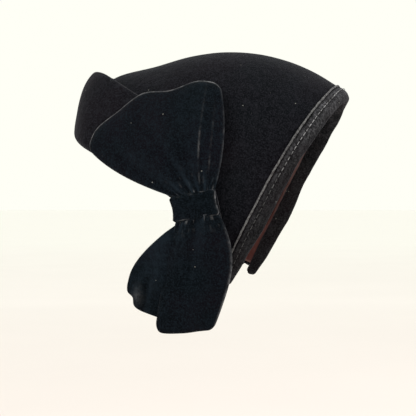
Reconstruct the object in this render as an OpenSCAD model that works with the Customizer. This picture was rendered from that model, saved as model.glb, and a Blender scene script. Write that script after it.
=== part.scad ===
// Velvet half hat of the headband kind: a stiff crown that tapers to a point over each ear,
// a turned-up cuff in front, a rolled binding at the back and a bow on the wearer's left.
// The origin is the centre of the head, +Z is up, the wearer looks along -Y, and the bow is on +X.

/* [Crown dome] */
// Half width of the crown across the ears
dome_a = 79; // [76:1:82]
// Half length of the crown, front to back
dome_b = 98.5; // [96:0.5:102]
// Half height of the crown
dome_c = 98; // [96:0.5:102]
// How far the crown stands off the head above the brow
brow_lift = 13; // [9:0.5:15]
// How far the crown stands off the head at the back
nape_lift = 11; // [7:0.5:13]

/* [Crown layers] */
// Thickness of the stiff buckram foundation
buckram_t = 0.9; // [0.7:0.1:1.0]
// Thickness of the velvet, pile included
velvet_t = 1.2; // [0.9:0.1:1.3]
// Thickness of the satin lining
lining_t = 0.5; // [0.3:0.1:0.5]
// Space left between two layers
layer_gap = 0.1; // [0.1:0.05:0.15]
// Width of the inside ribbon
ribbon_w = 10; // [8:1:12]
// Thickness of the inside ribbon
ribbon_t = 0.45; // [0.3:0.05:0.45]

/* [Rolled binding] */
// Half width of the roll, measured along the crown
roll_s = 5.6; // [5.2:0.1:5.8]
// Half thickness of the roll
roll_n = 3.2; // [3.0:0.1:3.4]
// Thickness of the velvet round the roll
roll_skin = 1.1; // [0.8:0.1:1.1]
// Radius of the brim wire
wire_r = 0.8; // [0.6:0.1:0.8]
// Radius of the piping along the seam
piping_r = 0.6; // [0.5:0.1:0.7]
// Number of stitches on each side of the back centre
stitch_count = 44; // [36:1:48]
// Length of a stitch
stitch_len = 2.7; // [2:0.1:3.0]
// Radius of the sewing thread
thread_r = 0.25; // [0.2:0.01:0.25]

/* [Front cuff] */
// Stand-off of the cuff above the brow, to the middle of its layers
cuff_front = 11; // [8:0.5:11.5]
// Stand-off of the cuff at the sides
cuff_side = 4.8; // [4.8:0.1:5.2]
// Half distance between the two velvet layers
cuff_half = 1.4; // [1.35:0.05:1.45]
// Thickness of the cuff velvet
cuff_skin = 1.0; // [0.8:0.1:1.0]
// Radius of the wire in the cuff's top fold
cuff_wire_r = 0.6; // [0.4:0.05:0.6]

/* [Bow] */
// Distance of the knot's centre from the middle of the head
knot_x = 93.5; // [93:0.5:96]
// Half width of the knot at its ends
knot_half_w = 16; // [14:0.5:16.5]
// How much the knot narrows at its waist, each side
knot_waist = 1.6; // [0.5:0.1:2.5]
// Half depth of the knot
knot_half_d = 5.6; // [5:0.1:6]
// Half height of the knot
knot_half_h = 8.8; // [8:0.1:9.5]
// Lean of the knot
knot_lean = 10.5; // [5:0.5:15]
// Thickness of the upper wing at its fullest
wing_t = 6; // [4:0.5:7]
// Thickness of the lower loop at its fullest
loop_t = 8; // [5:0.5:9]
// Thickness of the tail behind the lower loop
tail_t = 2.4; // [1.6:0.1:2.6]

/* [Side combs] */
// Length of a comb
comb_len = 36; // [30:2:38]
// Number of teeth on a comb
tooth_count = 12; // [8:1:13]
// Length of a tooth
tooth_len = 25; // [18:1:26]
// Radius of the comb's spine
spine_r = 1.4; // [1.2:0.1:1.5]

/* [Hidden] */

velvet_black = [0.03, 0.03, 0.04];
net_grey = [0.25, 0.25, 0.27];
lining_brown = [0.24, 0.09, 0.08];
buckram_tan = [0.62, 0.55, 0.42];
cotton_white = [0.85, 0.83, 0.78];
wire_grey = [0.5, 0.5, 0.52];
ribbon_black = [0.07, 0.06, 0.07];
thread_grey = [0.3, 0.3, 0.32];
comb_brown = [0.30, 0.15, 0.07];

// Edges of the hat as [angle from the front pole, roll from the top], from the middle to the ear tip.
front_edge = [[24, 0], [31.5, 47], [50.5, 72], [69, 83], [86.5, 96], [93, 111], [93.5, 122.5]];
back_edge = [[140.5, 0], [137.5, 30], [131, 54], [123, 74], [114, 92.7], [105, 110], [97, 127]];
cuff_top = [[44, 0], [51.5, 27], [64.5, 47], [80, 59], [93, 83], [98, 107], [96.5, 119.5]];

// Ends of the bow's pieces as [y, z] seen from the side.
wing_end = [[-81, 31], [-75, 43.5], [-61, 54.5], [-44, 67], [-24, 68.5], [-6, 74.5], [9.5, 72.5]];
loop_end = [[-31, -86], [-27, -90.5], [-13, -90.5], [-2, -89], [7.5, -88]];
tail_end = [[-49, -60], [-49, -66], [-45, -74], [-36, -78.5], [-22, -82], [-2, -80]];

stations = 20;         // steps from the middle to one ear tip
crown_rows = 14;       // steps from the front edge to the back edge
brow_at = 44;          // angle where the brow lift is greatest
brow_spread = 14;      // how quickly the brow lift fades
flat_at = 78;          // angle where the crown lies closest to the head
nape_at = 137;         // angle where the nape lift is reached
shell_stop = 1.8;      // how far short of the roll's middle the crown layers end
shell_reach = 0.96;    // where the crown layers end, as a share of the way to the ear tip
taper_from = 0.8;      // where the roll starts to thin towards the ear tip
taper_by = 0.4;        // how much of its thickness it loses
cuff_reach = 0.93;     // where the cuff ends, as a share of the way to the ear tip
seam_s = -roll_s;      // the piping lies on the roll's inner lip
stitch_s = -1.6;       // the stitches lie this far from the roll's middle
roll_mid = buckram_t;  // height of the roll's middle over the crown's inner face
velvet_lo = buckram_t + layer_gap;
velvet_hi = velvet_lo + velvet_t;
lining_lo = -layer_gap - lining_t;
ribbon_hi = lining_lo - 1.2;
ribbon_edge = 7.5;     // distance of the inside ribbon from the edge
front_wire_s = 1.2;    // the front brim wire lies this far past the crown's edge
back_wire_s = 1.0;     // the back brim wire lies this far past the roll's middle
padding_s = 2.7;       // half width of the padding round the back wire
padding_gap = 0.5;     // space between the padding and the roll's velvet
shell_pull = 2.6;      // how much shorter the crown layers stop at the ear tips
knot_y = -3.3;
knot_z = -8;
root_half = 15;        // half width of the gathered roots
root_gap = 0.5;        // clearance between the knot and a root
root_w = knot_half_h + root_gap;
rim_t = 1.2;           // thickness of one velvet layer of a bow loop
wing_lift = 9.8;       // height of the upper wing's end over the crown
core_gap = 2.4;        // depth of the gathered core under the knot's face
net_t = 0.4;
net_inset = 0.06;      // how far the net stays from a loop's sides, as a share of its width
comb_x = 72.2;         // the comb's spine stands this far out
comb_y = 6;
comb_z = -10;
comb_tilt = 2;         // the teeth lean in towards the head
comb_pitch = (comb_len - 3) / (tooth_count - 1);
loop_space = 0.3;      // clearance between a comb's spine and its thread loops
loop_thread = 0.3;

// ---- curves and surfaces -------------------------------------------------

function unit(v) = v / norm(v);
function clamp1(v) = max(-1, min(1, v));

// Catmull-Rom step between b and c
function spline(a, b, c, d, t) =
    0.5 * (2 * b + (c - a) * t + (2 * a - 5 * b + 4 * c - d) * t * t
    + (3 * b - a - 3 * c + d) * t * t * t);

// Point of an open curve through pts, t from 0 to 1
function along(pts, t) =
    let(n = len(pts) - 1, x = min(max(t, 0), 0.999999) * n, i = floor(x))
    spline(i > 0 ? pts[i - 1] : 2 * pts[0] - pts[1], pts[i], pts[i + 1],
        i + 2 <= n ? pts[i + 2] : 2 * pts[n] - pts[n - 1], x - i);

// Point of an edge that is mirrored about the middle, u from -1 to 1
function edge(pts, u) =
    let(n = len(pts) - 1, x = min(abs(u), 0.999999) * n, i = floor(x),
        before = i > 0 ? pts[i - 1] : [pts[1][0], -pts[1][1]],
        after = i + 2 <= n ? pts[i + 2] : 2 * pts[n] - pts[n - 1],
        p = spline(before, pts[i], pts[i + 1], after, x - i))
    [p[0], sign(u) * p[1]];

// How much the crown stands off the plain ellipsoid
function lift(th, ph) =
    1 + max(0, cos(ph)) * (brow_lift * exp(-pow((th - brow_at) / brow_spread, 2))
    + nape_lift * min(1, pow(max(0, th - flat_at) / (nape_at - flat_at), 2))) / dome_c;

// Point of the dome, off millimetres outside the crown's inner face
function dome(th, ph, off) =
    lift(th, ph) * [(dome_a + off) * sin(ph) * sin(th), -(dome_b + off) * cos(th),
    (dome_c + off) * cos(ph) * sin(th)];

// Point of the dome's left side that is seen at y, z from the side
function side_dome(y, z, off, k = 1, turns = 5) =
    let(th = acos(clamp1(-y / (k * (dome_b + off)))),
        ph = acos(clamp1(z / (k * (dome_c + off) * sin(th)))))
    turns == 0 ? dome(th, ph, off) : side_dome(y, z, off, lift(th, ph), turns - 1);

// Distance along the dome between two edges at station u
function span(lo, hi, u) =
    let(a = edge(lo, u), b = edge(hi, u)) norm(dome(b[0], b[1], 0) - dome(a[0], a[1], 0));

// Point between two edges, s millimetres from the first one
function between(lo, hi, u, s, off) =
    let(a = edge(lo, u), b = edge(hi, u), q = a + (b - a) * s / span(lo, hi, u))
    dome(q[0], q[1], off);

// Frame that rides an edge: point, outward direction past the edge, surface normal
function rail(pts, u) =
    let(a = edge(pts, u), p = dome(a[0], a[1], 0), n = unit(dome(a[0], a[1], 1) - p),
        b = edge(pts, u - 0.01), c = edge(pts, min(1, u + 0.01)),
        t = unit(dome(c[0], c[1], 0) - dome(b[0], b[1], 0)))
    [p, unit(cross(n, t)), n];

// Point beside an edge: s past the edge (flip it with side = -1), n off the surface
function beside(pts, u, s, n, side = 1) =
    let(f = rail(pts, u)) f[0] + side * s * f[1] + n * f[2];

// Stations of the crown layers, out to step k on each side
function crown_steps(k) = steps(shell_reach * k / stations, k);

// Share of the roll's thickness that is left at station u
function taper(u) = 1 - taper_by * pow(past_taper(u), 2);
function past_taper(u) = max(0, (abs(u) - taper_from) / (1 - taper_from));

function steps(reach = 1, n = stations) = [for (i = [-n:n]) reach * i / n];

// Left-hand normal of a flat path at point i
function path_normal(path, i) =
    let(d = unit(path[min(i + 1, len(path) - 1)] - path[max(i - 1, 0)])) [-d[1], d[0]];

function shifted(path, w) = [for (i = [0:len(path) - 1]) path[i] + w * path_normal(path, i)];

// ---- solids from surfaces ------------------------------------------------

function quad(a, b, c, d) = [[a, b, c], [a, c, d]];

// Closed sheet between two grids of the same size
module slab(top, bottom) {
    rows = len(top);
    cols = len(top[0]);
    n = rows * cols;
    points = concat([for (r = top) each r], [for (r = bottom) each r]);
    function at(r, c) = r * cols + c;
    faces = concat(
        [for (r = [0:rows - 2], c = [0:cols - 2])
            each quad(at(r, c), at(r, c + 1), at(r + 1, c + 1), at(r + 1, c))],
        [for (r = [0:rows - 2], c = [0:cols - 2])
            each quad(n + at(r, c), n + at(r + 1, c), n + at(r + 1, c + 1), n + at(r, c + 1))],
        [for (c = [0:cols - 2])
            each quad(n + c, n + c + 1, c + 1, c)],
        [for (c = [0:cols - 2], r = rows - 1)
            each quad(at(r, c), at(r, c + 1), n + at(r, c + 1), n + at(r, c))],
        [for (r = [0:rows - 2])
            each quad(at(r, 0), at(r + 1, 0), n + at(r + 1, 0), n + at(r, 0))],
        [for (r = [0:rows - 2], c = cols - 1)
            each quad(n + at(r, c), n + at(r + 1, c), at(r + 1, c), at(r, c))]);
    polyhedron(points, faces);
}

// Solid rod through a list of rings
module rod(rings) {
    k = len(rings[0]);
    m = len(rings);
    points = [for (r = rings) each r];
    function at(i, j) = i * k + j % k;
    faces = concat(
        [for (i = [0:m - 2], j = [0:k - 1])
            each quad(at(i, j), at(i, j + 1), at(i + 1, j + 1), at(i + 1, j))],
        [for (j = [1:k - 2]) [0, j + 1, j]],
        [for (j = [1:k - 2], i = m - 1) [at(i, 0), at(i, j), at(i, j + 1)]]);
    polyhedron(points, faces);
}

// Hollow rod, open at both ends
module sleeve(outer, inner) {
    k = len(outer[0]);
    m = len(outer);
    n = k * m;
    points = concat([for (r = outer) each r], [for (r = inner) each r]);
    function at(i, j) = i * k + j % k;
    faces = concat(
        [for (i = [0:m - 2], j = [0:k - 1])
            each quad(at(i, j), at(i, j + 1), at(i + 1, j + 1), at(i + 1, j))],
        [for (i = [0:m - 2], j = [0:k - 1])
            each quad(n + at(i, j), n + at(i + 1, j), n + at(i + 1, j + 1), n + at(i, j + 1))],
        [for (j = [0:k - 1])
            each quad(n + j, n + at(0, j + 1), at(0, j + 1), j)],
        [for (j = [0:k - 1], i = m - 1)
            each quad(at(i, j), at(i, j + 1), n + at(i, j + 1), n + at(i, j))]);
    polyhedron(points, faces);
}

// Rings of an oval rod beside an edge
function oval_rings(pts, us, s, n, rs, rn, k, side = 1, thins = 0) =
    [for (u = us) let(g = 1 - thins * (1 - taper(u))) [for (j = [0:k - 1]) let(a = -360 * side * j / k)
        beside(pts, u, s + g * rs * cos(a), n + g * rn * sin(a), side)]];

// Layer of the crown from the front edge into the roll, between two heights
module crown_sheet(lo, hi) {
    function grid(off) = [for (u = crown_steps(stations))
        let(stop = shell_stop + shell_pull * pow(past_taper(u), 2), w = span(front_edge, back_edge, u) - stop)
        [for (i = [0:crown_rows]) between(front_edge, back_edge, u, w * i / crown_rows, off)]];
    slab(grid(hi), grid(lo));
}

// ---- crown ---------------------------------------------------------------

module crown_foundation() {
    color(buckram_tan) crown_sheet(0, buckram_t);
}

module crown_velvet() {
    color(velvet_black) crown_sheet(velvet_lo, velvet_hi);
}

module crown_lining() {
    color(lining_brown) crown_sheet(lining_lo, -layer_gap);
}

// Ribbon sewn inside, a fixed distance from an edge
module ribbon(from_back, last) {
    function grid(off) = [for (u = crown_steps(last)) let(w = span(front_edge, back_edge, u),
        s0 = from_back ? w - ribbon_edge - ribbon_w : ribbon_edge)
        [for (i = [0:2]) between(front_edge, back_edge, u, s0 + ribbon_w * i / 2, off)]];
    color(ribbon_black) slab(grid(ribbon_hi), grid(ribbon_hi - ribbon_t));
}

module back_ribbon() {
    ribbon(true, 16);
}

module front_ribbon() {
    ribbon(false, 13);
}

// ---- wires ---------------------------------------------------------------

module front_edge_wire() {
    color(wire_grey)
        rod(oval_rings(front_edge, steps(0.98), front_wire_s, buckram_t, wire_r, wire_r, 6, -1));
}

module back_edge_wire() {
    color(wire_grey) rod(oval_rings(back_edge, steps(0.95), back_wire_s, roll_mid, wire_r, wire_r, 6));
}

// Crimped tube that holds the overlap of a wire, one on each ear side
module wire_joiners() {
    wire_us = steps(0.98);
    color(wire_grey) for (i = [3, 2 * stations - 4]) {
        us = [wire_us[i], wire_us[i + 1]];
        sleeve(oval_rings(front_edge, us, front_wire_s, buckram_t, wire_r + 0.25, wire_r + 0.25, 8, -1),
            oval_rings(front_edge, us, front_wire_s, buckram_t, wire_r + 0.08, wire_r + 0.08, 8, -1));
    }
}

// ---- rolled binding ------------------------------------------------------

module back_binding_padding() {
    padded = steps(0.95);
    half_n = roll_n - roll_skin / 2 - padding_gap;
    hole = wire_r + 0.1;
    color(cotton_white) sleeve(
        oval_rings(back_edge, padded, back_wire_s + 0.4, roll_mid, padding_s, half_n, 8, 1, 1.1),
        oval_rings(back_edge, padded, back_wire_s, roll_mid, hole, hole, 8));
}

// The lip opens towards the crown and takes its layers
module back_binding_velvet() {
    turn = [142, 115, 90, 60, 30, 0, -30, -60, -90, -108, -126];
    function grid(grow) = [for (u = steps()) let(g = taper(u)) [for (a = turn)
        beside(back_edge, u, (g * roll_s + grow) * cos(a), roll_mid + (g * roll_n + grow) * sin(a))]];
    color(velvet_black) slab(grid(roll_skin / 2), grid(-roll_skin / 2));
}

module binding_piping() {
    color(velvet_black) rod(oval_rings(back_edge, steps(shell_reach), seam_s - 0.1,
        velvet_hi + piping_r + 0.15, piping_r, piping_r, 6));
}

module binding_stitches() {
    grown = roll_n + roll_skin / 2;
    height = roll_mid + grown * sqrt(1 - pow(stitch_s / (roll_s + roll_skin / 2), 2)) + thread_r + 0.1;
    color(thread_grey) for (i = [-stitch_count:stitch_count]) {
        u = 0.94 * i / stitch_count;
        p = beside(back_edge, u, stitch_s, height);
        q = beside(back_edge, u + 0.01, stitch_s, height);
        d = unit(q - p);
        translate(p) rotate([0, acos(d[2]), atan2(d[1], d[0])])
            cylinder(h = stitch_len, r = thread_r, center = true, $fn = 16);
    }
}

// ---- front cuff ----------------------------------------------------------

function cuff_off(u) =
    let(a = max(0, cos(90 * min(1, abs(u) / 0.5)))) cuff_side + (cuff_front - cuff_side) * a * a;

function cuff_pt(u, s, n) = between(front_edge, cuff_top, u, s, n);

// Section of the folded cuff velvet as [distance from the edge, height]: from the turned-under edge
// inside the hat, round the lower fold, up the outer face, over the top fold and down the inner face
function cuff_fold(l, n) = [[4, -2.5], [1, -2.5], [-2.4, -1.6], [-3.3, 1.2], [-2.7, (n + 4) / 2],
    [-0.8, n + 0.5], [2.5, n + cuff_half], [l / 4 + 1.2, n + cuff_half], [l / 2, n + cuff_half],
    [3 * l / 4 - 1.2, n + cuff_half], [l - 2.4, n + cuff_half], [l - 0.9, n + 0.85], [l - 0.4, n],
    [l - 0.9, n - 0.85], [l - 2.4, n - cuff_half], [3 * l / 4 - 1.2, n - cuff_half],
    [l / 2, n - cuff_half], [l / 4 + 1.2, n - cuff_half], [min(5, l / 4 + 0.6), n - cuff_half]];

module cuff_velvet() {
    function grid(w) = [for (u = steps(cuff_reach)) let(l = span(front_edge, cuff_top, u))
        [for (q = shifted(cuff_fold(l, cuff_off(u)), w)) cuff_pt(u, q[0], q[1])]];
    color(velvet_black) slab(grid(cuff_skin / 2), grid(-cuff_skin / 2));
}

module cuff_foundation() {
    half_t = 0.2;
    function grid(w) = [for (u = steps(cuff_reach)) let(l = span(front_edge, cuff_top, u))
        [for (s = [min(4.6, l / 4 + 0.3), l / 4 + 1.2, l / 2, 3 * l / 4 - 1.2, l - 3.2])
            cuff_pt(u, s, cuff_off(u) + w)]];
    color(buckram_tan) slab(grid(half_t), grid(-half_t));
}

module cuff_edge_wire() {
    k = 6;
    rings = [for (u = steps(cuff_reach)) let(l = span(front_edge, cuff_top, u))
        [for (j = [0:k - 1]) let(a = -360 * j / k)
            cuff_pt(u, l - 2.1 + cuff_wire_r * cos(a), cuff_off(u) + cuff_wire_r * sin(a))]];
    color(wire_grey) rod(rings);
}

// Soft roll inside the cuff's lower fold
module cuff_padding() {
    k = 8;
    rings = [for (u = steps(cuff_reach)) let(top = cuff_off(u) + 0.7, low = velvet_hi + 0.2)
        [for (j = [0:k - 1]) let(a = -360 * j / k)
            cuff_pt(u, 1 + 1.6 * cos(a), (top + low) / 2 + ((top - low) / 2 - 0.45) * sin(a))]];
    color(cotton_white) rod(rings);
}

// ---- bow -----------------------------------------------------------------

// Point of the knot's frame: x outwards, v across, w towards the upper wing
function knot_pt(x, v, w) =
    [knot_x + x, knot_y + v * cos(knot_lean) - w * sin(knot_lean),
    knot_z + v * sin(knot_lean) + w * cos(knot_lean)];

function knot_rings(grow, n = 5, k = 20, reach = knot_half_h) = [for (i = [-n:n]) let(w = reach * i / n,
    half = knot_half_w - knot_waist * (1 - pow(i / n, 2)) + grow, depth = knot_half_d + grow)
    [for (j = [0:k - 1]) let(a = 360 * j / k) knot_pt(depth * sin(a), half * cos(a), w)]];

module bow_knot() {
    color(velvet_black) sleeve(knot_rings(0), knot_rings(-velvet_t));
}

module bow_core() {
    color(velvet_black) rod(knot_rings(-core_gap, 2, 16, knot_half_h - 0.6));
}

// Turns of thread that bind the gathered roots, inside the knot
module bow_core_thread() {
    turns = 5;
    apart = 1.6;
    half_w = 0.3;
    under = (core_gap + velvet_t) / 2 - 0.05;
    k = 24;
    function oval(grow, w) = [for (j = [0:k - 1]) let(a = 360 * j / k)
        knot_pt((knot_half_d + grow) * sin(a), (knot_half_w - knot_waist + grow) * cos(a), w)];
    color(thread_grey) for (t = [0:turns - 1]) {
        w = apart * (t - (turns - 1) / 2);
        sleeve([for (d = [-half_w, half_w]) oval(thread_r - under, w + d)],
            [for (d = [-half_w, half_w]) oval(-thread_r - under, w + d)]);
    }
}

// Felt patch between the bow and the hat
module bow_backing_patch() {
    n = 8;
    function grid(off) = [for (i = [0:n]) let(v = -12 + 24 * i / n, h = 6.5 * sqrt(1 - pow(v / 14, 2)))
        [for (j = [-2:2]) let(p = knot_pt(0, v, h * j / 2)) side_dome(p[1], p[2], off)]];
    color(ribbon_black) slab(grid(7.5), grid(7.0));
}

// The bow's stitches, where they show inside the hat
module bow_tack_stitches() {
    color(thread_grey) for (v = [4, 8, 12], w = [-3, 3]) {
        p = knot_pt(0, v, w);
        q = side_dome(p[1], p[2], ribbon_hi - ribbon_t - thread_r - 0.3);
        translate(q) rotate([knot_lean, 0, 0]) cylinder(h = 3.5, r = thread_r, center = true, $fn = 16);
    }
}

// Flat place in a gathered piece: root to end with r, side to side with a, sides bowed out
function fan(root0, root1, ends, a, r, bow0, bow1) =
    let(root = root0 + (root1 - root0) * a, end = along(ends, a), d = unit(root1 - root0),
        swell = 4 * r * (1 - r) * (a < 0.5 ? -bow0 * pow(1 - 2 * a, 2) : bow1 * pow(2 * a - 1, 2)))
    root + (end - root) * r + swell * d;

// Fullness of a pillow, 0 at its rim
function fullness(a, r) = pow(sin(180 * a), 0.5) * pow(sin(min(90, 200 * (1 - r))), 0.5);

function root_at(v, w) = let(p = knot_pt(0, v, w)) [p[1], p[2]];

function wing_yz(a, r) =
    fan(root_at(-root_half, root_w), root_at(root_half, root_w), wing_end, a, r, 6.5, 5);

// Height of the wing's underside over the crown
function wing_low(r) = wing_lift - 1.2 * (1 - r);

function loop_yz(a, r) =
    fan(root_at(-root_half, -root_w), root_at(root_half, -root_w), loop_end, a, r, 1, 6);

function tail_yz(a, r) =
    fan(root_at(-root_half, -root_w), root_at(root_half - 6, -root_w), tail_end, a, r, 9, 0);

// The lower pieces hang beside the head and lean in a little towards their ends
function hang_x(z) = knot_x - 1 - 0.13 * (knot_z - knot_half_h - z);

// Section of a folded loop as [distance from the root, height], t is its fullness at each place
function loop_fold(len, t) =
    let(h = rim_t / 2, ahead = [0, 0.25, 0.5, 0.75, 0.92])
    concat([for (r = ahead) [r * len, h]],
        [[len - 0.8, h + 0.25], [len, t[5] / 2], [len - 0.8, t[5] - h - 0.25]],
        [for (i = [4:-1:0]) [ahead[i] * len, t[i] - h]]);

// Thickness of a loop at its fold stations, a across it
function loop_fullness(a, full) =
    let(flat = rim_t * 2 + 0.5)
    [for (r = [0, 0.25, 0.5, 0.75, 0.92, 1]) flat + (full - flat) * fullness(a, r)];

module bow_upper_loop() {
    n = 14;
    len = 70;
    function grid(w) = [for (i = [0:n]) let(a = i / n, t = loop_fullness(a, wing_t))
        [for (q = shifted(loop_fold(len, t), w)) let(r = q[0] / len, p = wing_yz(a, r))
            side_dome(p[0], p[1], wing_low(min(1, max(0, r))) + q[1])]];
    color(velvet_black) slab(grid(rim_t / 2), grid(-rim_t / 2));
}

// Stiff net in the middle of the wing
module bow_upper_net() {
    n = 8;
    m = 6;
    flat = rim_t + 0.25;
    function grid(w) = [for (i = [0:n]) let(a = net_inset + (1 - 2 * net_inset) * i / n)
        let(half = loop_fullness(a, wing_t)[1] / 2)
        [for (j = [0:m]) let(r = 0.01 + 0.93 * j / m, p = wing_yz(a, r))
            side_dome(p[0], p[1], wing_low(r) + flat + (half - flat) * fullness(a, r) + w)]];
    color(net_grey) slab(grid(net_t / 2), grid(-net_t / 2));
}

module bow_lower_loop() {
    n = 14;
    len = 71;
    function grid(w) = [for (i = [0:n]) let(a = i / n, t = loop_fullness(a, loop_t))
        [for (q = shifted(loop_fold(len, t), w)) let(r = q[0] / len, p = loop_yz(a, r))
            [hang_x(p[1]) - t[2] / 2 + q[1], p[0], p[1]]]];
    color(velvet_black) slab(grid(-rim_t / 2), grid(rim_t / 2));
}

module bow_lower_net() {
    n = 8;
    m = 6;
    function grid(w) = [for (i = [0:n]) let(a = net_inset + (1 - 2 * net_inset) * i / n)
        [for (j = [0:m]) let(r = 0.01 + 0.85 * j / m, p = loop_yz(a, r)) [hang_x(p[1]) + w, p[0], p[1]]]];
    color(net_grey) slab(grid(-net_t / 2), grid(net_t / 2));
}

// Folded end that hangs behind the lower loop and shows in front of it
module bow_lower_tail() {
    n = 10;
    m = 8;
    behind = loop_t / 2 + 0.6;
    function grid(w) = [for (i = [0:n]) [for (j = [0:m]) let(p = tail_yz(i / n, j / m))
        [hang_x(p[1]) - behind - w, p[0], p[1]]]];
    color(velvet_black) slab(grid(tail_t), grid(0));
}

// ---- side combs ----------------------------------------------------------

module comb(side) {
    color(comb_brown) translate([side * comb_x, comb_y, comb_z]) {
        rotate([90, 0, 0]) cylinder(h = comb_len, r = spine_r, center = true, $fn = 32);
        for (i = [0:tooth_count - 1])
            translate([0, (i - (tooth_count - 1) / 2) * comb_pitch, 0]) rotate([0, -side * comb_tilt, 0])
                cylinder(h = tooth_len, r1 = 0.8, r2 = 0.45, $fn = 16);
    }
}

module comb_left() {
    comb(1);
}

module comb_right() {
    comb(-1);
}

// Thread loops that hold a comb's spine and let it turn
module comb_loops(side) {
    color(thread_grey) for (i = [-4, 0, 4])
        translate([side * comb_x, comb_y + i * comb_pitch, comb_z]) rotate([90, 0, 0])
            rotate_extrude($fn = 32) translate([spine_r + loop_space + loop_thread, 0])
                circle(r = loop_thread, $fn = 16);
}

module comb_loops_left() {
    comb_loops(1);
}

module comb_loops_right() {
    comb_loops(-1);
}

crown_foundation();
crown_velvet();
crown_lining();
front_edge_wire();
back_edge_wire();
wire_joiners();
back_ribbon();
front_ribbon();
back_binding_padding();
back_binding_velvet();
binding_piping();
binding_stitches();
cuff_foundation();
cuff_velvet();
cuff_edge_wire();
cuff_padding();
bow_backing_patch();
bow_tack_stitches();
bow_core();
bow_core_thread();
bow_knot();
bow_upper_loop();
bow_upper_net();
bow_lower_loop();
bow_lower_net();
bow_lower_tail();
comb_left();
comb_right();
comb_loops_left();
comb_loops_right();
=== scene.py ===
import math
import bmesh
import bpy
import numpy as np
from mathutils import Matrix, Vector


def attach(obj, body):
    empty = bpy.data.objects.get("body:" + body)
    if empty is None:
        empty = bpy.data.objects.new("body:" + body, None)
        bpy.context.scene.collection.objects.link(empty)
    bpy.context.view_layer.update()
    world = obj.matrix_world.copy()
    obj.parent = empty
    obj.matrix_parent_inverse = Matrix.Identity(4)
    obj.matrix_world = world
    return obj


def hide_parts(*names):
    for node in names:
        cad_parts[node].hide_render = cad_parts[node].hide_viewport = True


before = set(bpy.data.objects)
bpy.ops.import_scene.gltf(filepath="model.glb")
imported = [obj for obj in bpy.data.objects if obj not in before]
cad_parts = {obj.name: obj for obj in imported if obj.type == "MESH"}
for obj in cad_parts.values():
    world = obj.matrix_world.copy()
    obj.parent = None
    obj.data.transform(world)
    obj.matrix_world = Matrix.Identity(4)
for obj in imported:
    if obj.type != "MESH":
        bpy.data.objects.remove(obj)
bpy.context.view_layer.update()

MM = 0.001
SCENE = bpy.context.scene

# ---- camera: at ear height on the wearer's left, nine degrees round towards the back ----
CAMERA_AT, CAMERA_AIM = (0.8904, 0.1317, -0.0092), (-0.98769, -0.15643, 0)
SENSOR_WIDTH, LENS, CLIP_START = 36, 109.85, 0.01


def aimed(name, data, at, aim):
    """Camera or light at a place, looking along aim"""
    obj = bpy.data.objects.new(name, data)
    SCENE.collection.objects.link(obj)
    obj.location = at
    obj.rotation_mode = "QUATERNION"
    obj.rotation_quaternion = Vector(aim).to_track_quat("-Z", "Y")
    return obj


camera = aimed("camera", bpy.data.cameras.new("camera"), CAMERA_AT, CAMERA_AIM)
camera.data.sensor_width, camera.data.lens, camera.data.clip_start = SENSOR_WIDTH, LENS, CLIP_START
SCENE.camera = camera
SCENE.view_settings.view_transform = "Standard"

# ---- the hat's dome and edges, in millimetres and degrees, as in the CAD ----
# half axes of the dome: across the ears, front to back, upwards
DOME_A, DOME_B, DOME_C = 79.0, 98.5, 98.0
# how far the crown stands off the head: height, and where it peaks or begins (angle, spread)
BROW_LIFT, BROW_AT, BROW_SPREAD = 13, 44, 14
NAPE_LIFT, NAPE_FROM, NAPE_SPREAD = 11, 78, 59
# edges as (angle from the brow, angle from the top), from the top round to the ear
FRONT_EDGE = [[24, 0], [31.5, 47], [50.5, 72], [69, 83], [86.5, 96], [93, 111], [93.5, 122.5]]
BACK_EDGE = [[140.5, 0], [137.5, 30], [131, 54], [123, 74], [114, 92.7], [105, 110], [97, 127]]
CUFF_TOP = [[44, 0], [51.5, 27], [64.5, 47], [80, 59], [93, 83], [98, 107], [96.5, 119.5]]
# ends of the bow's layers as (y, z)
WING_END = [[-81, 31], [-75, 43.5], [-61, 54.5], [-44, 67], [-24, 68.5], [-6, 74.5], [9.5, 72.5]]
LOOP_END = [[-31, -86], [-27, -90.5], [-13, -90.5], [-2, -89], [7.5, -88]]
TAIL_END = [[-49, -60], [-49, -66], [-45, -74], [-36, -78.5], [-22, -82], [-2, -80]]
KNOT = (93.5, -3.3, -8.0)
KNOT_HALF_W, KNOT_HALF_D, KNOT_HALF_H, KNOT_LEAN = 16.0, 5.6, 8.8, 10.5
ROOT_HALF, ROOT_W = 15.0, 9.3
# back roll: half width along the crown, half height, velvet's thickness, height of its middle
ROLL_S, ROLL_N, ROLL_SKIN, ROLL_MID = 5.6, 3.2, 1.1, 0.9
PIPING_S, PIPING_N, PIPING_R = -5.75, 2.98, 0.68
STITCH_ANGLE = 105
SHELL_REACH, CUFF_REACH = 0.96, 0.93
CUFF_END = 0.975  # the velvet is turned under past the cuff's stiff layers


def sind(a):
    return np.sin(np.radians(a))


def cosd(a):
    return np.cos(np.radians(a))


def bump(x, width):
    return np.exp(-(x / width) ** 2)


def spline(a, b, c, d, t):
    """Catmull-Rom step between b and c"""
    square, cube = 2 * a - 5 * b + 4 * c - d, 3 * b - a - 3 * c + d
    return 0.5 * (2 * b + (c - a) * t + square * t * t + cube * t ** 3)


def through(first, pts, x):
    """Point at share x of a smooth line through pts, led in by first"""
    p = np.array(pts, float)
    n = len(p) - 1
    x = np.clip(x, 0, 0.999999) * n
    i = np.floor(x).astype(int)
    line = np.vstack([[first], p, [2 * p[n] - p[n - 1]]])
    return spline(line[i], line[i + 1], line[i + 2], line[i + 3], (x - i)[..., None])


def along(pts, t):
    """Point at share t of a smooth open line through pts"""
    p = np.array(pts, float)
    return through(2 * p[0] - p[1], pts, np.asarray(t, float))


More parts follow.
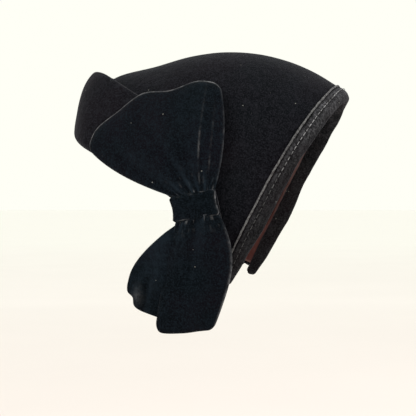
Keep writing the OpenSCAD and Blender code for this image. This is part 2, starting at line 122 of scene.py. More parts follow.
def edge(pts, u):
    """Angles on an edge at u: 0 in the middle, 1 at the left ear, -1 at the right ear"""
    u = np.asarray(u, float)
    q = through((pts[1][0], -pts[1][1]), pts, np.abs(u))
    q[..., 1] *= np.sign(u)
    return q


def lift(th, ph):
    """How much the dome grows there, for the crown's height over brow and nape"""
    brow = BROW_LIFT * bump(th - BROW_AT, BROW_SPREAD)
    nape = NAPE_LIFT * np.minimum(1, (np.maximum(0, th - NAPE_FROM) / NAPE_SPREAD) ** 2)
    return 1 + np.maximum(0, cosd(ph)) * (brow + nape) / DOME_C


def dome(th, ph, off):
    """Point of the dome, off millimetres over the crown's inner face"""
    k = lift(th, ph)
    return np.stack([k * (DOME_A + off) * sind(ph) * sind(th), -k * (DOME_B + off) * cosd(th),
                     k * (DOME_C + off) * cosd(ph) * sind(th)], -1)


def side_dome(y, z, off):
    """Point of the dome's left side at that y and z"""
    k = 1.0
    for _ in range(7):
        th = np.degrees(np.arccos(np.clip(-y / (k * (DOME_B + off)), -1, 1)))
        ph = np.degrees(np.arccos(np.clip(z / (k * (DOME_C + off) * sind(th)), -1, 1)))
        k = lift(th, ph)
    return dome(th, ph, off)


def span(lo, hi, u):
    """Millimetres from the edge lo to the edge hi at u"""
    a, b = edge(lo, u), edge(hi, u)
    return np.linalg.norm(dome(b[..., 0], b[..., 1], 0) - dome(a[..., 0], a[..., 1], 0), axis=-1)


def between(lo, hi, u, s, off):
    """Point s millimetres from the edge lo towards the edge hi, off over the crown's inner face"""
    a, b = edge(lo, u), edge(hi, u)
    q = a + (b - a) * (s / span(lo, hi, u))[..., None]
    return dome(q[..., 0], q[..., 1], off)


def unit(v):
    return v / np.linalg.norm(v, axis=-1, keepdims=True)


def rail(pts, u):
    """Frame that rides an edge: point, direction past the edge, surface normal"""
    a, b, c = edge(pts, u), edge(pts, u - 0.004), edge(pts, np.minimum(1, u + 0.004))
    p = dome(a[..., 0], a[..., 1], 0)
    n = unit(dome(a[..., 0], a[..., 1], 1) - p)
    t = unit(dome(c[..., 0], c[..., 1], 0) - dome(b[..., 0], b[..., 1], 0))
    return p, unit(np.cross(n, t)), n


def soft_noise(p, size, seed):
    """Smooth random height between -1 and 1 at points p, with lumps of that size"""
    rng = np.random.default_rng(seed)
    table = rng.uniform(-1, 1, (16, 16, 16))
    q = np.asarray(p, float) / size + 40
    i = np.floor(q).astype(int)
    f = q - i
    f = f * f * (3 - 2 * f)
    total = 0
    for corner in np.ndindex(2, 2, 2):
        x, y, z = (i[..., k] + step for k, step in enumerate(corner))
        wx, wy, wz = (f[..., k] if step else 1 - f[..., k] for k, step in enumerate(corner))
        total = total + wx * wy * wz * table[x % 16, y % 16, z % 16]
    return total


def spot(a, b, c):
    """Points for soft_noise from three values that may differ in shape"""
    return np.stack(np.broadcast_arrays(a, b, c), -1)


# ---- meshes ----

def make(name, verts, faces, painted_sheen=None, nap_and_painted_shade=None):
    """Smooth closed mesh. Point values say where the velvet carries painted sheen lines and glints, and pile
    brushing with painted light and shade from the folds.
    """
    mesh = bpy.data.meshes.new(name)
    mesh.from_pydata([tuple(v) for v in np.asarray(verts).reshape(-1, 3) * MM], [], faces)
    obj = bpy.data.objects.new(name, mesh)
    SCENE.collection.objects.link(obj)
    for key, values in (("painted_sheen", painted_sheen), ("nap_and_painted_shade", nap_and_painted_shade)):
        if values is not None:
            layer = mesh.attributes.new(key, "FLOAT", "POINT")
            layer.data.foreach_set("value", np.asarray(values, np.float32).ravel())
    work = bmesh.new()
    work.from_mesh(mesh)
    bmesh.ops.remove_doubles(work, verts=work.verts, dist=2e-6)
    bmesh.ops.dissolve_degenerate(work, dist=1e-7, edges=work.edges)
    bmesh.ops.recalc_face_normals(work, faces=work.faces)
    for f in work.faces:
        f.smooth = True
    work.to_mesh(mesh)
    work.free()
    return obj


def skin(name, rings, painted_sheen=None, ends=(True, True), wrap=False, nap_and_painted_shade=None):
    """Closed surface through rings of points. An end is capped between the two halves of its ring."""
    rings = np.asarray(rings, float)
    m, k = rings.shape[:2]
    faces = []
    for i in range(m if wrap else m - 1):
        a, b = i * k, (i + 1) % m * k
        faces += [(a + j, a + (j + 1) % k, b + (j + 1) % k, b + j) for j in range(k)]
    if not wrap:
        for base, capped in ((0, ends[0]), ((m - 1) * k, ends[1])):
            if capped:
                half = k // 2
                for j in range(half - (0 if k % 2 else 1)):
                    quad = [base + j, base + j + 1, base + k - 2 - j, base + k - 1 - j]
                    faces.append(tuple(dict.fromkeys(quad)))
        faces = [f for f in faces if len(f) > 2]
    return make(name, rings, faces, painted_sheen, nap_and_painted_shade)


def slab(name, top, bottom, painted_sheen=None, rim=0.0):
    """Thick sheet between two grids whose side edges bulge by rim"""
    top, bottom = np.asarray(top, float), np.asarray(bottom, float)
    mid = (top + bottom) / 2
    lead, tail = mid[:, :1] - mid[:, 1:2], mid[:, -1:] - mid[:, -2:-1]
    first, last = mid[:, :1] + rim * unit(lead), mid[:, -1:] + rim * unit(tail)
    rings = np.concatenate([top, last, bottom[:, ::-1], first], 1)
    if painted_sheen is not None:
        painted_sheen = np.concatenate([painted_sheen, painted_sheen[:, -1:], painted_sheen[:, ::-1] * 0, painted_sheen[:, :1]], 1)
    m, k = rings.shape[:2]
    n = top.shape[1]
    faces = []
    for i in range(m - 1):
        a, b = i * k, (i + 1) * k
        faces += [(a + j, a + (j + 1) % k, b + (j + 1) % k, b + j) for j in range(k)]
    for base in (0, (m - 1) * k):
        faces.append((base, base + 2 * n, base + 2 * n + 1))
        faces.append((base + n - 1, base + n, base + n + 1))
        faces += [(base + j, base + j + 1, base + 2 * n - 1 - j, base + 2 * n - j) for j in range(n - 1)]
    return make(name, rings, faces, painted_sheen)


# ---- materials ----

class Nodes:
    """A material and the nodes that feed its Principled shader"""

    def __init__(self, name):
        self.mat = bpy.data.materials.new(name)
        self.mat.use_nodes = True
        self.tree = self.mat.node_tree
        self.shader = self.tree.nodes["Principled BSDF"]
        self.coords = self.add("ShaderNodeTexCoord").outputs["Object"]

    def add(self, kind, **values):
        node = self.tree.nodes.new(kind)
        for key, value in values.items():
            if key in node.inputs:
                node.inputs[key].default_value = value
            else:
                setattr(node, key, value)
        return node

    def link(self, a, b):
        self.tree.links.new(a, b)

    def put(self, **values):
        for key, value in values.items():
            self.shader.inputs[key.replace("_", " ")].default_value = value

    def noise(self, scale, detail=3.0, rough=0.55):
        node = self.add("ShaderNodeTexNoise", Scale=scale, Detail=detail, Roughness=rough)
        self.link(self.coords, node.inputs["Vector"])
        return node.outputs["Fac"]

    def ramp(self, fac, stops):
        node = self.add("ShaderNodeValToRGB")
        while len(node.color_ramp.elements) < len(stops):
            node.color_ramp.elements.new(0.5)
        for element, (at, colour) in zip(node.color_ramp.elements, stops):
            element.position = at
            element.color = (*colour, 1) if len(colour) == 3 else (colour[0],) * 3 + (1,)
        self.link(fac, node.inputs["Fac"])
        return node.outputs["Color"]

    def mix(self, fac, a, b, blend="MIX"):
        node = self.add("ShaderNodeMix", data_type="RGBA", blend_type=blend)
        sockets = [s for s in node.inputs if s.type == "RGBA"]
        for source, socket in ((fac, node.inputs[0]), (a, sockets[0]), (b, sockets[1])):
            if isinstance(source, bpy.types.NodeSocket):
                self.link(source, socket)
            else:
                socket.default_value = source if isinstance(source, float) else (*source, 1)
        return [s for s in node.outputs if s.type == "RGBA"][0]

    def math(self, op, a, b=0.5):
        node = self.add("ShaderNodeMath", operation=op)
        for source, socket in ((a, node.inputs[0]), (b, node.inputs[1])):
            if isinstance(source, bpy.types.NodeSocket):
                self.link(source, socket)
            else:
                socket.default_value = source
        return node.outputs[0]

    def bumps(self, *layers):
        """Stack of bumps as (height, distance in metres, strength)"""
        normal = None
        for height, distance, strength in layers:
            node = self.add("ShaderNodeBump", Strength=strength, Distance=distance)
            self.link(height, node.inputs["Height"])
            if normal is not None:
                self.link(normal, node.inputs["Normal"])
            normal = node.outputs["Normal"]
        self.link(normal, self.shader.inputs["Normal"])

    def colour(self, socket):
        self.link(socket, self.shader.inputs["Base Color"])


def times(k, colour):
    return tuple(k * c for c in colour)


PLAIN_GRIT = (330, 0.36, 0.66)
ROLL_BRUSH_AND_SHADE = 17.0


def velvet(name, deep, light, sheen_grey, lint=True, sheen=0.06, sheen_all=0.0, brush_and_shade_lift=3.6, grit=PLAIN_GRIT,
           plum=(1.34, 0.94, 1.12), cast_scale=14):
    """Pile: deep and light patches, a green to plum cast, grain, pile brushing with painted light and shade
    from the folds, painted sheen lines and glints, and lint.
    brush is how much lighter pile brushing and that painted light are than light, and grit the (scale, low,
    high) that breaks them."""
    m = Nodes(name)
    m.put(Roughness=0.95, Specular_IOR_Level=0.06, Sheen_Weight=sheen, Sheen_Roughness=0.36)
    m.put(Sheen_Tint=(0.80, 0.80, 0.92, 1))
    patches = m.noise(42, 5, 0.62)
    nap_and_painted_shade = m.noise(1000, 3, 0.75)
    strokes = m.noise(260, 3, 0.7)
    colour = m.ramp(patches, [(0.34, deep), (0.68, light)])
    cast = m.ramp(m.noise(cast_scale, 2), [(0.40, (0.66, 1.03, 1.06)), (0.60, plum)])
    colour = m.mix(1.0, colour, cast, "MULTIPLY")
    colour = m.mix(m.ramp(nap_and_painted_shade, [(0.47, (0.0,)), (0.63, (1.0,))]), colour, times(3.7, light))
    colour = m.mix(m.ramp(strokes, [(0.50, (0.0,)), (0.74, (0.8,))]), colour, times(3.4, light))
    if lint:
        specks = m.add("ShaderNodeTexVoronoi", Scale=170.0, Randomness=1.0)
        m.link(m.coords, specks.inputs["Vector"])
        near = m.math("LESS_THAN", specks.outputs["Distance"], 0.075)
        rare = m.math("GREATER_THAN", m.noise(120, 0), 0.64)
        colour = m.mix(m.math("MULTIPLY", near, rare), colour, (0.13, 0.13, 0.12))
    # This point value lightens pile brushing and the painted light and shade from the folds.
    brushed_and_painted_shade = m.add("ShaderNodeAttribute", attribute_name="nap_and_painted_shade").outputs["Fac"]
    scale, low, high = grit
    broken = m.ramp(m.noise(scale, 4, 0.75), [(low, (0.12,)), (high, (1.0,))])
    pile = m.ramp(strokes, [(0.3, (0.55,)), (0.6, (1.0,))]) if brush_and_shade_lift < ROLL_BRUSH_AND_SHADE else broken
    colour = m.mix(m.math("MULTIPLY", brushed_and_painted_shade, pile), colour, times(brush_and_shade_lift, light))
    # A pale grey is laid along this point value: painted sheen lines and glints on rims, folds and gathers.
    painted_sheen = m.add("ShaderNodeAttribute", attribute_name="painted_sheen").outputs["Fac"]
    painted_sheen = m.math("ADD", painted_sheen, sheen_all) if sheen_all else painted_sheen
    colour = m.mix(m.math("MULTIPLY", painted_sheen, broken), colour, sheen_grey)
    m.colour(colour)
    m.bumps((m.noise(75, 4, 0.6), 0.0022, 0.45), (strokes, 0.0006, 0.5), (nap_and_painted_shade, 0.0005, 0.6))
    return m.mat


def cloth(name, dark, light, scale, ribs=None, rough=0.7, sheen=0.0):
    """Woven cloth: threads in two directions, or ribs along one axis"""
    m = Nodes(name)
    m.put(Roughness=rough, Specular_IOR_Level=0.3, Sheen_Weight=sheen, Sheen_Roughness=0.5)
    waves = []
    for axis in ribs or ("X", "Y", "Z"):
        node = m.add("ShaderNodeTexWave", Scale=scale, Distortion=0.6, bands_direction=axis)
        m.link(m.coords, node.inputs["Vector"])
        waves.append(node.outputs["Fac"])
    weave = waves[0]
    for other in waves[1:]:
        weave = m.math("MULTIPLY", weave, other) if not ribs else m.math("ADD", weave, other)
    patches = m.noise(60, 4)
    colour = m.ramp(patches, [(0.3, dark), (0.7, light)])
    colour = m.mix(m.math("MULTIPLY", weave, 0.4), colour, times(0.55, dark))
    m.colour(colour)
    m.bumps((patches, 0.0008, 0.3), (weave, 0.0003, 0.6))
    return m.mat


def thread(name, dark, light, low, high):
    """Sewing thread that shows light above a height in the hat and darker below it"""
    m = Nodes(name)
    m.put(Roughness=0.6, Specular_IOR_Level=0.3, Sheen_Weight=0.2, Sheen_Roughness=0.5)
    split = m.add("ShaderNodeSeparateXYZ")
    m.link(m.coords, split.inputs[0])
    rise = m.math("DIVIDE", m.math("SUBTRACT", split.outputs["Z"], low), high - low)
    uneven = m.ramp(m.noise(260, 3, 0.6), [(0.40, (0.10,)), (0.60, (1.0,))])
    fine = m.noise(1500, 2)
    shown = m.math("MULTIPLY", m.ramp(rise, [(0.0, (0.10,)), (1.0, (1.0,))]), uneven)
    m.colour(m.mix(shown, dark, m.ramp(fine, [(0.3, times(0.7, light)), (0.7, light)])))
    m.bumps((fine, 0.0002, 0.5),)
    return m.mat


def satin(name, dark, light):
    m = Nodes(name)
    m.put(Roughness=0.36, Specular_IOR_Level=0.45, Sheen_Weight=0.12, Sheen_Roughness=0.4)
    soft = m.noise(36, 3, 0.5)
    threads = m.noise(2200, 2, 0.6)
    colour = m.ramp(soft, [(0.3, dark), (0.7, light)])
    m.colour(m.mix(m.ramp(threads, [(0.35, (0.0,)), (0.7, (0.45,))]), colour, times(1.7, light)))
    m.bumps((soft, 0.0035, 0.35), (m.noise(140, 3), 0.0006, 0.35), (threads, 0.0002, 0.4))
    return m.mat


def fibres(name, dark, light, scale=500, rough=0.9, depth=0.0006):
    m = Nodes(name)
    m.put(Roughness=rough, Specular_IOR_Level=0.2, Sheen_Weight=0.2, Sheen_Roughness=0.5)
    fine = m.noise(scale, 5, 0.7)
    m.colour(m.ramp(fine, [(0.3, dark), (0.7, light)]))
    m.bumps((m.noise(scale / 6, 3), depth * 2, 0.4), (fine, depth, 0.6))
    return m.mat


def hard(name, dark, light, scale, rough, metal=0.0, coat=0.0):
    m = Nodes(name)
    m.put(Metallic=metal, Coat_Weight=coat, Coat_Roughness=0.12)
    grain = m.noise(scale, 6, 0.62)
    m.colour(m.ramp(grain, [(0.36, dark), (0.62, light)]))
    m.link(m.ramp(grain, [(0.3, (rough * 0.8,)), (0.7, (rough * 1.2,))]), m.shader.inputs["Roughness"])
    m.bumps((m.noise(scale * 4, 3), 0.0002, 0.25),)
    return m.mat


# Pale greys for painted sheen lines and glints on the velvet.
SHEEN_GREY, SHEEN_GREY_BOW, SHEEN_GREY_PIPING = (0.20, 0.20, 0.21), (0.24, 0.24, 0.25), (0.24, 0.24, 0.24)
crown_mat = velvet("velvet_crown", (0.0009, 0.0012, 0.0021), (0.0034, 0.0035, 0.0047), SHEEN_GREY, sheen=0.058)
bow_mat = velvet("velvet_bow", (0.0005, 0.0011, 0.0021), (0.0016, 0.0027, 0.0040), SHEEN_GREY_BOW, sheen=0.035,
                 brush_and_shade_lift=7.0, plum=(2.1, 0.92, 1.20), cast_scale=23)
roll_mat = velvet("velvet_roll", (0.0014, 0.0014, 0.0018), (0.0064, 0.0064, 0.0071), SHEEN_GREY, sheen=0.070,
                  brush_and_shade_lift=ROLL_BRUSH_AND_SHADE, grit=(560, 0.46, 0.60))
# The piping's pale greys and the sheen grey laid over all of it are painted sheen on its narrow ridge.
piping_mat = velvet("velvet_piping", (0.010, 0.010, 0.011), (0.030, 0.030, 0.032), SHEEN_GREY_PIPING, lint=False,
                    sheen=0.12, sheen_all=0.6, grit=(620, 0.42, 0.60))
lining_mat = satin("satin_lining", (0.050, 0.014, 0.013), (0.090, 0.027, 0.023))
ribbon_mat = cloth("grosgrain", (0.010, 0.008, 0.009), (0.020, 0.017, 0.018), 330, ("Y",), rough=0.55,
                   sheen=0.2)
buckram_mat = cloth("buckram", (0.33, 0.27, 0.18), (0.47, 0.40, 0.29), 350, rough=0.85)
net_mat = cloth("stiff_net", (0.035, 0.035, 0.04), (0.07, 0.07, 0.075), 300, rough=0.8)
cotton_mat = fibres("cotton_wadding", (0.62, 0.60, 0.54), (0.82, 0.80, 0.75))
felt_mat = fibres("felt", (0.006, 0.006, 0.007), (0.018, 0.016, 0.017))
thread_mat = thread("sewing_thread", (0.012, 0.012, 0.013), (0.36, 0.36, 0.38), -0.005, 0.03)
dark_thread_mat = fibres("black_thread", (0.015, 0.015, 0.017), (0.05, 0.05, 0.055), 900, 0.6, 0.0002)
wire_mat = hard("brim_wire", (0.10, 0.10, 0.11), (0.24, 0.24, 0.25), 400, 0.45, metal=0.9)
comb_mat = hard("tortoise_plastic", (0.014, 0.005, 0.003), (0.17, 0.062, 0.018), 70, 0.22, coat=0.5)


def paint(obj, mat):
    obj.data.materials.clear()
    obj.data.materials.append(mat)


def dress(obj, mat, body="hat", nodes=()):
    paint(obj, mat)
    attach(obj, body)
    if nodes:
        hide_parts(*nodes)
    return obj


# ---- crown ----

def crown_grid(off, nu, ns, ruffle=0.0, seed=3, reach=SHELL_REACH, end_drop=0.0):
    """Sheet from the front edge to the back edge, with soft lumps and pulls of height ruffle"""
    u = np.linspace(-reach, reach, nu)[:, None]
    off = off - end_drop * np.clip((np.abs(u) - reach + 0.012) / 0.006, 0, 1)
    past = np.maximum(0, (np.abs(u) - 0.8) / 0.2)
    width = span(FRONT_EDGE, BACK_EDGE, u) - 1.8 - 2.6 * past ** 2
    s = width * np.linspace(0, 1, ns)[None, :]
    u = np.broadcast_to(u, s.shape)
    p = between(FRONT_EDGE, BACK_EDGE, u, s, off)
    inner = between(FRONT_EDGE, BACK_EDGE, u, s, off - 1)
    wave = soft_noise(p, 34, seed) * 0.7 + soft_noise(p, 11, seed + 1) * 0.22
    seam = np.minimum(s, width - s)
    arc = np.cumsum(np.linalg.norm(np.diff(p[:, -1], axis=0, prepend=p[:1, -1]), axis=-1))[:, None]
    pull = np.sin(arc * 0.62 + 1.4 * np.sin(arc * 0.11)) * bump(width - s, 7.0) * 0.35
    fade = np.clip(seam / 5, 0, 1)
    return p + unit(p - inner) * (ruffle * (wave * fade + pull))[..., None]


N_U, N_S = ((141, 81))
VELVET_OUT, VELVET_IN, COVER_REACH, TURN_UNDER = 2.25, 1.1, SHELL_REACH + 0.006, 2.2
ruffled = crown_grid(VELVET_OUT, N_U, N_S, 0.45, reach=COVER_REACH)
turned = crown_grid(VELVET_IN, N_U, N_S, reach=COVER_REACH, end_drop=TURN_UNDER)
shell = slab("crown_velvet_cover", ruffled, turned, rim=0.5)
dress(shell, crown_mat, "hat", ["crown_velvet"])
stiff = [crown_grid(off, 101, 61, reach=SHELL_REACH - 0.012) for off in (0.85, 0.0)]
dress(slab("buckram_crown", *stiff, rim=0.2), buckram_mat, "hat", ["crown_foundation"])
lining = slab("satin_lining", crown_grid(-0.2, N_U, N_S, reach=SHELL_REACH - 0.004),
              crown_grid(-0.75, N_U, N_S, 0.25, 9, SHELL_REACH - 0.004), rim=0.15)
dress(lining, lining_mat, "hat", ["crown_lining"])


def ribbon(name, node, from_back, last):
    """Ribbon inside the crown, beside its back or front edge. last of 20 steps to the ear are covered."""
    u = np.linspace(-1, 1, 161)[:, None] * SHELL_REACH * last / 20
    width = span(FRONT_EDGE, BACK_EDGE, u)
    start = width - 17.5 if from_back else 7.5
    s = start + 10 * np.linspace(0, 1, 7)[None, :] + 0 * u
    u = np.broadcast_to(u, s.shape)
    ripple = 0.10 * np.sin(u * 90)
    top = between(FRONT_EDGE, BACK_EDGE, u, s, -1.62 + ripple)
    low = between(FRONT_EDGE, BACK_EDGE, u, s, -2.02 + ripple)
    return dress(slab(name, top, low, rim=0.15), ribbon_mat, "hat", [node])


ribbon("back_inside_ribbon", "back_ribbon", True, 16)
ribbon("front_inside_ribbon", "front_ribbon", False, 13)

# ---- rolled binding, its piping ----

def roll_taper(u):
    """Share of the roll's girth left at u: it grows slimmer near the ears"""
    return 1 - 0.4 * np.maximum(0, (np.abs(u) - 0.8) / 0.2) ** 2


def back_roll():
    """Padded binding rolled over the back edge: outer face, then inner face, tucked in at the stitches"""
    nu = 321
    u = np.linspace(-1, 1, nu)
    p, out, normal = rail(BACK_EDGE, u)
    arc = np.cumsum(np.linalg.norm(np.diff(p, axis=0, prepend=p[:1]), axis=-1))
    g = roll_taper(u)
    turns = np.linspace(142, -126, 31)
    close = np.sqrt(np.clip(1 - np.clip((np.abs(u) - 0.985) / 0.015, 0, 1) ** 2, 0.0009, 1))
    rings, painted_sheen, nap_and_painted_shade = [], [], []
    for side in (1, -1):
        for a in turns[::side]:
            grow = side * ROLL_SKIN / 2
            place = spot(arc, a / 7, 0)
            puff = 0.42 * soft_noise(place, 13, 21) + 0.16 * soft_noise(place, 4.5, 22)
            tuck = -0.30 * bump(a - 130, 8) - (0.52 + 0.12 * np.cos(arc * 0.66)) * bump(a - STITCH_ANGLE, 9)
            sway = 1.05 * soft_noise(spot(arc, 0, 0), 27, 27) * bump(a + 5, 60)
            swell = (puff + tuck + sway) * (1 if side > 0 else 0)
            s = (g * ROLL_S + grow + swell) * math.cos(math.radians(a))
            n = (g * ROLL_N + grow + swell) * math.sin(math.radians(a))
            rings.append(p + out * (close * s)[:, None] + normal * (ROLL_MID + close * n)[:, None])
            high = np.clip((p[:, 2] - 5) / 50, 0, 1)
            # Painted sheen: a light band along the roll's crest, stronger higher up the hat.
            painted_sheen.append((0.01 + 0.13 * high) * bump(a - 62, 26) * (side > 0))
            place = spot(arc, a / 6, 0)
            crushed = np.clip(soft_noise(place, 7, 24) * 1.6 + soft_noise(place, 2.5, 25) * 0.8 - 0.1, 0, 1)
            # Random crushed pile patches, plus painted light in bands by the crest and by the stitches,
            # stronger higher up the hat.
            brushed_and_painted_shade = crushed * 0.35 + 0.80 * bump(a - 121, 12) + 0.35 * bump(a - 82, 14)
            nap_and_painted_shade.append(brushed_and_painted_shade * (0.25 + 0.75 * high) * (side > 0))
    return skin("back_roll_velvet", np.stack(rings, 1), np.stack(painted_sheen, 1), nap_and_painted_shade=np.stack(nap_and_painted_shade, 1))


roll = dress(back_roll(), roll_mat, "hat", ["back_binding_velvet"])


def tube(name, centre, across, up, radius, sides=10, wobble=0.0):
    """Round tube along centre whose radius wavers by wobble"""
    arc = np.cumsum(np.linalg.norm(np.diff(centre, axis=0, prepend=centre[:1]), axis=-1))
    rings = []
    for j in range(sides):
        a = 2 * math.pi * j / sides
        r = radius * (1 + wobble * soft_noise(spot(arc, j, 0), 2.2, 5))
        rings.append(centre + across * (r * math.cos(a))[:, None] + up * (r * math.sin(a))[:, None])
    return skin(name, np.stack(rings, 1))


u = np.linspace(-SHELL_REACH, SHELL_REACH, 401)
p, out, normal = rail(BACK_EDGE, u)
line = p + out * PIPING_S + normal * PIPING_N
piping = tube("seam_piping", line, out, normal, np.full(len(u), PIPING_R), wobble=0.3)
dress(piping, piping_mat, "hat", ["binding_piping"])

# ---- front cuff ----

CUFF_LOW, CUFF_HIGH, CUFF_HALF = 4.8, 11, 1.4
CUFF_N = 91  # points on the path of the cuff's fold


def cuff_off(u):
    """How far the cuff's middle layer stands off the crown: most in front, least past half way round"""
    a = np.maximum(0, cosd(90 * np.minimum(1, np.abs(u) / 0.5)))
    return CUFF_LOW + (CUFF_HIGH - CUFF_LOW) * a * a


def front_cuff():
    """Velvet from inside the crown round the front edge, up the cuff's outer face and down behind it"""
    nu = 241
    rings, painted_sheens = [], []
    places = np.linspace(-CUFF_END, CUFF_END, nu)
    for u in places:
        length, n, h = float(span(FRONT_EDGE, CUFF_TOP, u)), float(cuff_off(u)), CUFF_HALF
        fold = [[4, -2.5], [1, -2.5], [-2.4, -1.6], [-3.3, 1.2], [-2.7, (n + 4) / 2], [-0.8, n + 0.5],
                [2.5, n + h], [length / 4 + 1.2, n + h], [length / 2, n + h], [3 * length / 4 - 1.2, n + h],
                [length - 2.4, n + h], [length - 0.9, n + 0.85], [length - 0.4, n], [length - 0.9, n - 0.85],
                [length - 2.4, n - h], [3 * length / 4 - 1.2, n - h], [length / 2, n - h],
                [length / 4 + 1.2, n - h], [min(5, length / 4 + 0.6), n - h]]
        t = np.linspace(0, 1, CUFF_N)
        path = along(fold, t)
        d = np.gradient(path, axis=0)
        d /= np.linalg.norm(d, axis=1, keepdims=True)
        side = np.stack([-d[:, 1], d[:, 0]], -1)
        outer, inner = path + 0.5 * side, path - 0.5 * side
        both = np.concatenate([outer, inner[::-1]])
        # Painted sheen: a light line along the cuff's top fold.
        painted_sheen = 0.55 * bump(t * (len(fold) - 1) - 12, 0.55)
        rings.append(both)
        painted_sheens.append(np.concatenate([painted_sheen, 0 * painted_sheen]))
    rings, painted_sheens = np.array(rings), np.array(painted_sheens)
    heart = np.stack([rings[..., 0].mean(1), rings[..., 1].mean(1)], -1)[:, None]
    close = np.clip((np.abs(places) - CUFF_END + 0.02) / 0.02, 0, 1)
    rings = heart + (rings - heart) * np.sqrt(1.003 - close ** 2)[:, None, None]
    us = np.broadcast_to(places[:, None], rings.shape[:2])
    flat = between(FRONT_EDGE, CUFF_TOP, us, rings[..., 0], rings[..., 1])
    up = unit(between(FRONT_EDGE, CUFF_TOP, us, rings[..., 0], rings[..., 1] + 1) - flat)
    wave = 0.55 * soft_noise(flat, 30, 31) + 0.2 * soft_noise(flat, 10, 32)
    wave = wave * np.clip((rings[..., 1] - 2) / 3, 0, 1) * 0.6
    return skin("front_cuff_velvet", flat + up * wave[..., None], painted_sheens)


dress(front_cuff(), crown_mat, "hat", ["cuff_velvet"])
for side, name in ((1, "left"), (-1, "right")):
    u = side * np.linspace(0.90, 0.995, 41)
    p, out, normal = rail(FRONT_EDGE, u)
    girth = 2.1 * np.sqrt(np.clip(1 - np.clip((np.abs(u) - 0.98) / 0.015, 0, 1) ** 2, 0.002, 1))
    line = p - out * 1.0 + normal * 0.9
    turning = tube("front_edge_turning_" + name, line, out, normal, girth, 20, wobble=0.08)
    dress(turning, crown_mat, "hat")  # stands for no CAD node: it covers the wire's end

# ---- bow ----

def knot_point(x, v, w):
    """Point in the knot's leaning frame: out from the head, towards the back, up along the bow"""
    c, s = math.cos(math.radians(KNOT_LEAN)), math.sin(math.radians(KNOT_LEAN))
    return np.stack([KNOT[0] + x + 0 * v, KNOT[1] + v * c - w * s, KNOT[2] + v * s + w * c], -1)


def root_at(v, w):
    return knot_point(0.0, np.array(float(v)), np.array(float(w)))[1:]


def fan(root0, root1, ends, a, r, bow0, bow1):
    """(y, z) at share a across and share r out from the knot. The sides bow out by bow0 and bow1."""
    root = root0 + (root1 - root0) * a[..., None]
    end = along(ends, a)
    across = unit(root1 - root0)
    swell = 4 * r * (1 - r) * np.where(a < 0.5, -bow0 * (1 - 2 * a) ** 2, bow1 * (2 * a - 1) ** 2)
    return root + (end - root) * r[..., None] + swell[..., None] * across


def wing_yz(a, r):
    return fan(root_at(-ROOT_HALF, ROOT_W), root_at(ROOT_HALF, ROOT_W), WING_END, a, r, 6.5, 5)


def loop_yz(a, r):
    yz = fan(root_at(-ROOT_HALF, -ROOT_W), root_at(ROOT_HALF, -ROOT_W), LOOP_END, a, r, 1, 10)
    yz[..., 0] -= 1.7 * bump(r - 0.78, 0.24) * np.clip((a - 0.3) / 0.7, 0, 1) ** 2
    return yz


def tail_yz(a, r):
    return fan(root_at(-ROOT_HALF, -ROOT_W), root_at(ROOT_HALF - 6, -ROOT_W), TAIL_END, a, r, 9, 0)


def fullness(a, r):
    """0 at the rims and the end fold, 1 in the middle"""
    return np.sqrt(np.clip(sind(180 * np.clip(a, 0, 1)), 0, 1)) * np.sqrt(sind(np.clip(200 * (1 - r), 0, 90)))


